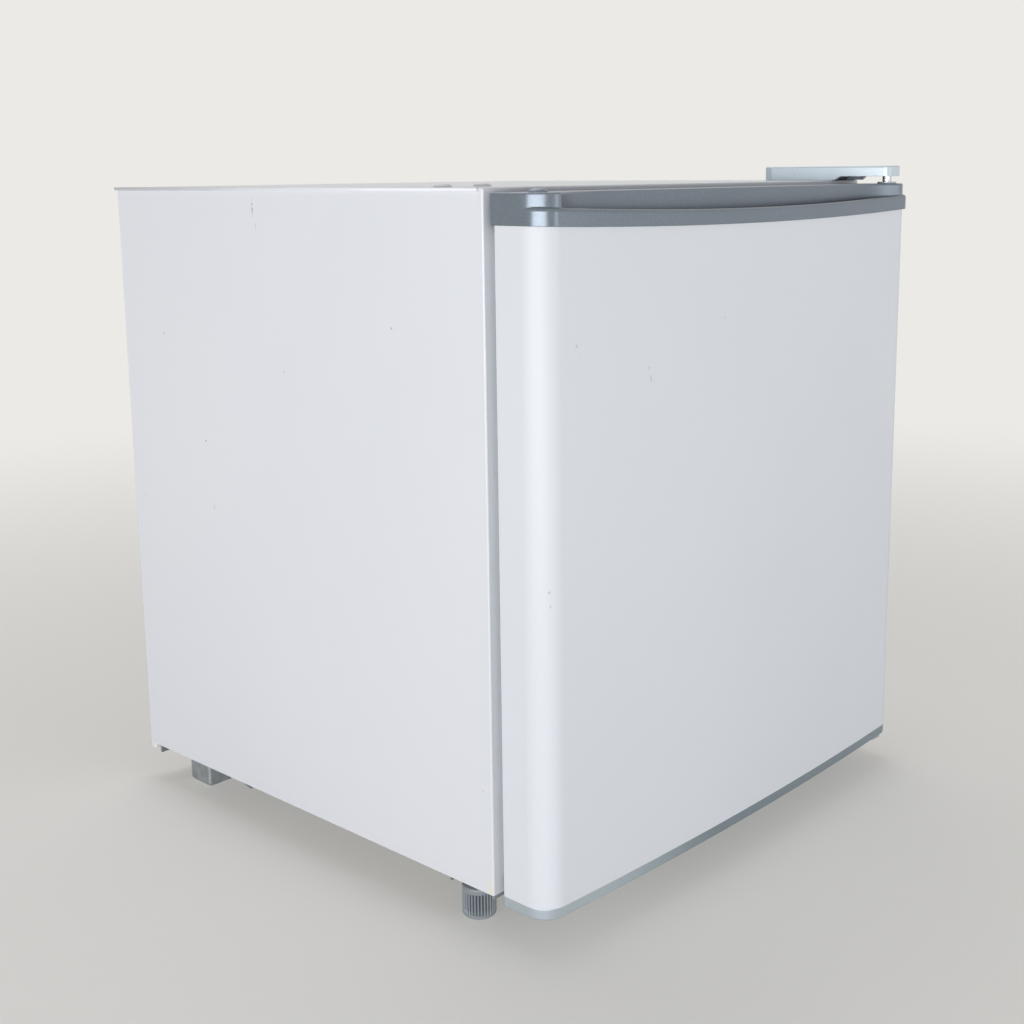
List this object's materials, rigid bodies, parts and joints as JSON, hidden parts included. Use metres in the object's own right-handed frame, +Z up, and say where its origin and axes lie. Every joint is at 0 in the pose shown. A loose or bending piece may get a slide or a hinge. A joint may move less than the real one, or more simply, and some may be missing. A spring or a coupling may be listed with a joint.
{
  "type": "mini fridge",
  "caption": "Compact white fridge with a bowed door, top hand recess, freezer box, wire shelf, door racks and levelling feet.",
  "frame": {"origin": "on the floor under the middle of the whole fridge's box", "axes": "+X to the right of someone facing the door, -Y is the front, +Z up"},
  "size_m": [0.448, 0.4638, 0.5045],
  "materials": {
    "cabinet_paint": "fine grained satin white paint",
    "door_paint": "satin white paint",
    "back_paint": "thin grey-white primer",
    "galvanised": "dull galvanised",
    "zinc": "zinc plated",
    "pipe_steel": "painted steel tube",
    "pin_chrome": "polished",
    "copper": "drawn copper",
    "compressor_black": "black gloss enamel",
    "black_plastic": "fine texture",
    "rubber": "moulded",
    "evaporator_aluminium": "roll-bond sheet",
    "foam": "rigid foam",
    "liner_plastic": "vacuum formed, light gloss",
    "white_plastic": "moulded",
    "flap_plastic": "moulded",
    "tray_plastic": "moulded",
    "rack_plastic": "moulded",
    "knob_plastic": "moulded",
    "silver_plastic": "silver-grey, satin",
    "cap_plastic": "blue-grey silver, satin",
    "bottom_cap_plastic": "pale silver-grey, satin",
    "foot_plastic": "translucent grey",
    "gasket_rubber": "soft vinyl",
    "magnet": "magnetic strip",
    "shelf_wire": "white plastic coated wire"
  },
  "bodies": {
    "cabinet": {"left_side_panel": "cabinet_paint", "right_side_panel": "cabinet_paint", "top_panel": "cabinet_paint", "base_panel": "galvanised", "back_panel": "back_paint", "inner_liner": "liner_plastic", "cabinet_foam": "foam", "left_condenser_coil": "pipe_steel", "right_condenser_coil": "pipe_steel", "front_bottom_rail": "galvanised", "foot_nuts": "zinc", "compressor_tray": "galvanised", "rear_corner_blocks": "white_plastic", "compressor": "compressor_black", "compressor_grommets": "rubber", "compressor_bolts": "zinc", "relay_cover": "black_plastic", "cord_gland": "rubber", "filter_drier": "copper", "discharge_tube": "copper", "suction_tube": "copper", "capillary_tube": "copper", "evaporator": "evaporator_aluminium", "evaporator_hangers": "white_plastic", "evaporator_screws": "zinc", "freezer_frame": "white_plastic", "drip_tray_rails": "white_plastic", "thermostat_housing": "white_plastic", "thermostat": "zinc", "sensing_tube": "copper", "sensing_clamp": "white_plastic", "upper_hinge_plate": "zinc", "upper_hinge_pin": "pin_chrome", "upper_hinge_screws": "zinc", "upper_hinge_cover": "silver_plastic", "top_hole_plugs": "white_plastic", "lower_hinge_bracket": "zinc", "lower_hinge_pin": "pin_chrome", "lower_hinge_screws": "zinc"},
    "door": {"door_skin": "door_paint", "door_top_cap": "cap_plastic", "door_bottom_cap": "bottom_cap_plastic", "cap_hole_plug": "cap_plastic", "hinge_bushes": "silver_plastic", "door_foam": "foam", "door_liner": "liner_plastic", "door_gasket": "gasket_rubber", "gasket_magnets": "magnet", "upper_door_rack": "rack_plastic", "lower_door_rack": "rack_plastic"},
    "freezer_flap": {"freezer_flap": "flap_plastic"},
    "drip_tray": {"drip_tray": "tray_plastic"},
    "shelf": {"shelf": "shelf_wire"},
    "thermostat_knob": {"thermostat_knob": "knob_plastic", "thermostat_shaft": "zinc"},
    "left_foot": {"left_foot": "foot_plastic"},
    "right_foot": {"right_foot": "foot_plastic"}
  },
  "joints": [
    {"name": "door_hinge", "type": "hinge", "parent": "cabinet", "child": "door", "pos_m": [0.2095, -0.20955, 0], "axis": [0, 0, 1], "range_deg": [0, 120]},
    {"name": "freezer_flap_hinge", "type": "hinge", "parent": "cabinet", "child": "freezer_flap", "pos_m": [-0.0495, -0.05255, 0.436], "axis": [-1, 0, 0], "range_deg": [0, 80]},
    {"name": "drip_tray_slide", "type": "slide", "parent": "cabinet", "child": "drip_tray", "axis": [0, -1, 0], "range_m": [0, 0.05]},
    {"name": "shelf_slide", "type": "slide", "parent": "cabinet", "child": "shelf", "axis": [0, -1, 0], "range_m": [0, 0.06]},
    {"name": "thermostat_turn", "type": "hinge", "parent": "cabinet", "child": "thermostat_knob", "pos_m": [0.15335, -0.17555, 0.4184], "axis": [0, 1, 0], "range_deg": [0, 270]},
    {"name": "left_foot_screw", "type": "slide", "parent": "cabinet", "child": "left_foot", "axis": [0, 0, -1], "range_m": [0, 0.01]},
    {"name": "right_foot_screw", "type": "slide", "parent": "cabinet", "child": "right_foot", "axis": [0, 0, -1], "range_m": [0, 0.01]}
  ]
}
